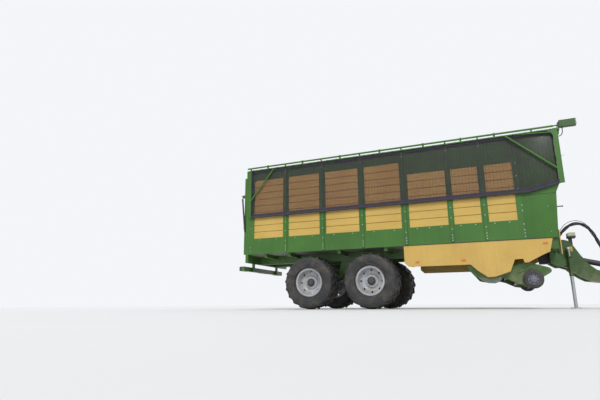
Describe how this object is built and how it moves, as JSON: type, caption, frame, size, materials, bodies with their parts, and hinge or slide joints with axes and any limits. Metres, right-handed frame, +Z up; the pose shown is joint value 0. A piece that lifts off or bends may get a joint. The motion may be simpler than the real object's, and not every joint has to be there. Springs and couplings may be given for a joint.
{
  "type": "forage loader wagon",
  "caption": "Tandem-axle loader wagon with pickup, feed rotor, scraper floor, tailgate, swing-out roof covers and a high articulated drawbar.",
  "frame": {"origin": "middle of the bounding box at ground level", "axes": "+X forward towards the towing eye, +Y to the left side, +Z up"},
  "size_m": [10.2, 2.764, 4.016],
  "materials": {
    "green_paint": "satin enamel",
    "yellow_paint": "satin enamel",
    "dark_cast": "painted casting",
    "floor_steel": "worn paint",
    "chain_steel": "worn bright",
    "dark_paint": "satin",
    "red_lens": "moulded lens",
    "amber_lens": "moulded lens",
    "beige_plastic": "moulded",
    "hose_rubber": "matt",
    "zinc_steel": "zinc plated",
    "guard_plastic": "moulded",
    "chrome_rod": "polished",
    "spring_steel": "worn",
    "tyre_rubber": "matt",
    "rotor_paint": "worn",
    "mesh_fabric": "woven mesh",
    "rim_paint": "satin enamel"
  },
  "bodies": {
    "chassis": {"corner_covers": "yellow_paint", "chassis_frame": "green_paint", "side_beams": "green_paint", "cross_members": "green_paint", "head_beam": "green_paint", "drawbar_lugs": "green_paint", "ram_lugs": "green_paint", "gate_lugs": "green_paint", "gearbox": "dark_cast", "load_floor": "floor_steel", "scraper_chains": "chain_steel", "side_wall_right": "green_paint", "side_wall_left": "green_paint", "boards_right": "yellow_paint", "boards_left": "yellow_paint", "skirts": "yellow_paint", "top_frame": "green_paint", "front_wall": "green_paint", "cover_drives": "green_paint", "rotor_housing": "green_paint", "suspension": "green_paint", "axles": "dark_paint", "tail_lamps": "red_lens", "reflectors": "amber_lens", "cover_hose_right": "hose_rubber", "cover_hose_left": "hose_rubber"},
    "drawbar": {"drawbar": "green_paint", "hose_box": "beige_plastic", "hose_bundle": "hose_rubber"},
    "jack": {"jack_leg": "zinc_steel"},
    "drive_shaft": {"drive_shaft": "guard_plastic"},
    "drawbar_barrels": {"drawbar_barrels": "dark_paint"},
    "drawbar_rods": {"drawbar_rods": "chrome_rod"},
    "pickup": {"pickup_arms": "green_paint", "pickup_frame": "green_paint"},
    "reel": {"reel": "spring_steel"},
    "crop_roller": {"crop_roller": "green_paint"},
    "gauge_wheel_right": {"gauge_wheel_right": "tyre_rubber"},
    "gauge_wheel_left": {"gauge_wheel_left": "tyre_rubber"},
    "feed_rotor": {"feed_rotor": "rotor_paint", "rotor_stubs": "dark_cast"},
    "tailgate": {"tailgate": "green_paint"},
    "tailgate_barrels": {"tailgate_barrels": "dark_paint"},
    "tailgate_rods": {"tailgate_rods": "chrome_rod"},
    "wing_right": {"wing_frame_right": "green_paint", "wing_mesh_right": "mesh_fabric"},
    "wing_left": {"wing_frame_left": "green_paint", "wing_mesh_left": "mesh_fabric"},
    "knuckle_right": {"knuckle_right": "dark_paint"},
    "knuckle_left": {"knuckle_left": "dark_paint"},
    "tie_rod": {"tie_rod": "dark_paint"},
    "wheel_front_right": {"tyre_front_right": "tyre_rubber", "rim_front_right": "rim_paint"},
    "wheel_front_left": {"tyre_front_left": "tyre_rubber", "rim_front_left": "rim_paint"},
    "wheel_rear_right": {"tyre_rear_right": "tyre_rubber", "rim_rear_right": "rim_paint"},
    "wheel_rear_left": {"tyre_rear_left": "tyre_rubber", "rim_rear_left": "rim_paint"}
  },
  "joints": [
    {"name": "drawbar_pitch", "type": "hinge", "parent": "chassis", "child": "drawbar", "pos_m": [2.885, 0, 1.02], "axis": [0, 1, 0], "range_deg": [-5, 5]},
    {"name": "jack_slide", "type": "slide", "parent": "drawbar", "child": "jack", "axis": [0, 0, 1], "range_m": [0, 0.42]},
    {"name": "drive_shaft_pitch", "type": "hinge", "parent": "chassis", "child": "drive_shaft", "pos_m": [2.835, 0, 1.185], "axis": [0, 1, 0], "range_deg": [-6, 6]},
    {"name": "drawbar_barrel_pitch", "type": "hinge", "parent": "chassis", "child": "drawbar_barrels", "pos_m": [2.165, 0, 1.39], "axis": [0, 1, 0], "range_deg": [-0.34537, 0.34537]},
    {"name": "drawbar_rod_slide", "type": "slide", "parent": "drawbar_barrels", "child": "drawbar_rods", "axis": [0.9953, 0, 0.0968], "range_m": [-0.04581, 0.04581]},
    {"name": "pickup_lift", "type": "hinge", "parent": "chassis", "child": "pickup", "pos_m": [1.225, 0, 0.8], "axis": [0, 1, 0], "range_deg": [0, 28]},
    {"name": "reel_spin", "type": "hinge", "parent": "pickup", "child": "reel", "pos_m": [2.145, 0, 0.72], "axis": [0, 1, 0], "continuous": true},
    {"name": "crop_roller_spin", "type": "hinge", "parent": "pickup", "child": "crop_roller", "pos_m": [2.475, 0, 0.8], "axis": [0, 1, 0], "continuous": true},
    {"name": "gauge_wheel_right_spin", "type": "hinge", "parent": "pickup", "child": "gauge_wheel_right", "pos_m": [2.165, -1.15, 0.62], "axis": [0, 1, 0], "continuous": true},
    {"name": "gauge_wheel_left_spin", "type": "hinge", "parent": "pickup", "child": "gauge_wheel_left", "pos_m": [2.165, 1.15, 0.62], "axis": [0, 1, 0], "continuous": true},
    {"name": "rotor_spin", "type": "hinge", "parent": "chassis", "child": "feed_rotor", "pos_m": [1.325, 0, 1.07], "axis": [0, 1, 0], "continuous": true},
    {"name": "tailgate_open", "type": "hinge", "parent": "chassis", "child": "tailgate", "pos_m": [-4.935, 0, 3.76], "axis": [0, 1, 0], "range_deg": [0, 95]},
    {"name": "tailgate_barrel_pitch", "type": "hinge", "parent": "chassis", "child": "tailgate_barrels", "pos_m": [-4.935, 0, 2.15], "axis": [0, 1, 0], "range_deg": [-12.96, 0]},
    {"name": "tailgate_rod_slide", "type": "slide", "parent": "tailgate_barrels", "child": "tailgate_rods", "axis": [-0.0985, 0, 0.9951], "range_m": [0, 0.85125]},
    {"name": "cover_right_swing", "type": "hinge", "parent": "chassis", "child": "wing_right", "pos_m": [0, -1.312, 3.926], "axis": [-1, 0, 0], "range_deg": [0, 240]},
    {"name": "cover_left_swing", "type": "hinge", "parent": "chassis", "child": "wing_left", "pos_m": [0, 1.312, 3.926], "axis": [1, 0, 0], "range_deg": [0, 240]},
    {"name": "steering_left", "type": "hinge", "parent": "chassis", "child": "knuckle_left", "pos_m": [-2.975, 0.61, 0.675], "axis": [0, 0, 1], "range_deg": [-10, 10]},
    {"name": "steering_right", "type": "hinge", "parent": "chassis", "child": "knuckle_right", "pos_m": [-2.975, -0.61, 0.675], "axis": [0, 0, 1], "range_deg": [-10, 10]},
    {"name": "tie_rod_swing", "type": "hinge", "parent": "knuckle_left", "child": "tie_rod", "pos_m": [-3.225, 0.61, 0.645], "axis": [0, 0, 1], "range_deg": [-10, 10]},
    {"name": "wheel_front_right_spin", "type": "hinge", "parent": "chassis", "child": "wheel_front_right", "pos_m": [-1.375, -1.025, 0.675], "axis": [0, 1, 0], "continuous": true},
    {"name": "wheel_front_left_spin", "type": "hinge", "parent": "chassis", "child": "wheel_front_left", "pos_m": [-1.375, 1.025, 0.675], "axis": [0, 1, 0], "continuous": true},
    {"name": "wheel_rear_right_spin", "type": "hinge", "parent": "knuckle_right", "child": "wheel_rear_right", "pos_m": [-2.975, -1.025, 0.675], "axis": [0, 1, 0], "continuous": true},
    {"name": "wheel_rear_left_spin", "type": "hinge", "parent": "knuckle_left", "child": "wheel_rear_left", "pos_m": [-2.975, 1.025, 0.675], "axis": [0, 1, 0], "continuous": true}
  ],
  "couplings": [
    {"joint": "drive_shaft_pitch", "follows": "drawbar_pitch", "ratio": 0.93686},
    {"joint": "drawbar_barrel_pitch", "follows": "drawbar_pitch", "ratio": 0.057562},
    {"joint": "drawbar_rod_slide", "follows": "drawbar_pitch", "m_per_rad": 0.43747},
    {"joint": "tailgate_barrel_pitch", "follows": "tailgate_open", "ratio": -0.13506},
    {"joint": "tailgate_rod_slide", "follows": "tailgate_open", "m_per_rad": 0.50831},
    {"joint": "steering_right", "follows": "steering_left", "ratio": 1},
    {"joint": "tie_rod_swing", "follows": "steering_left", "ratio": -1}
  ]
}
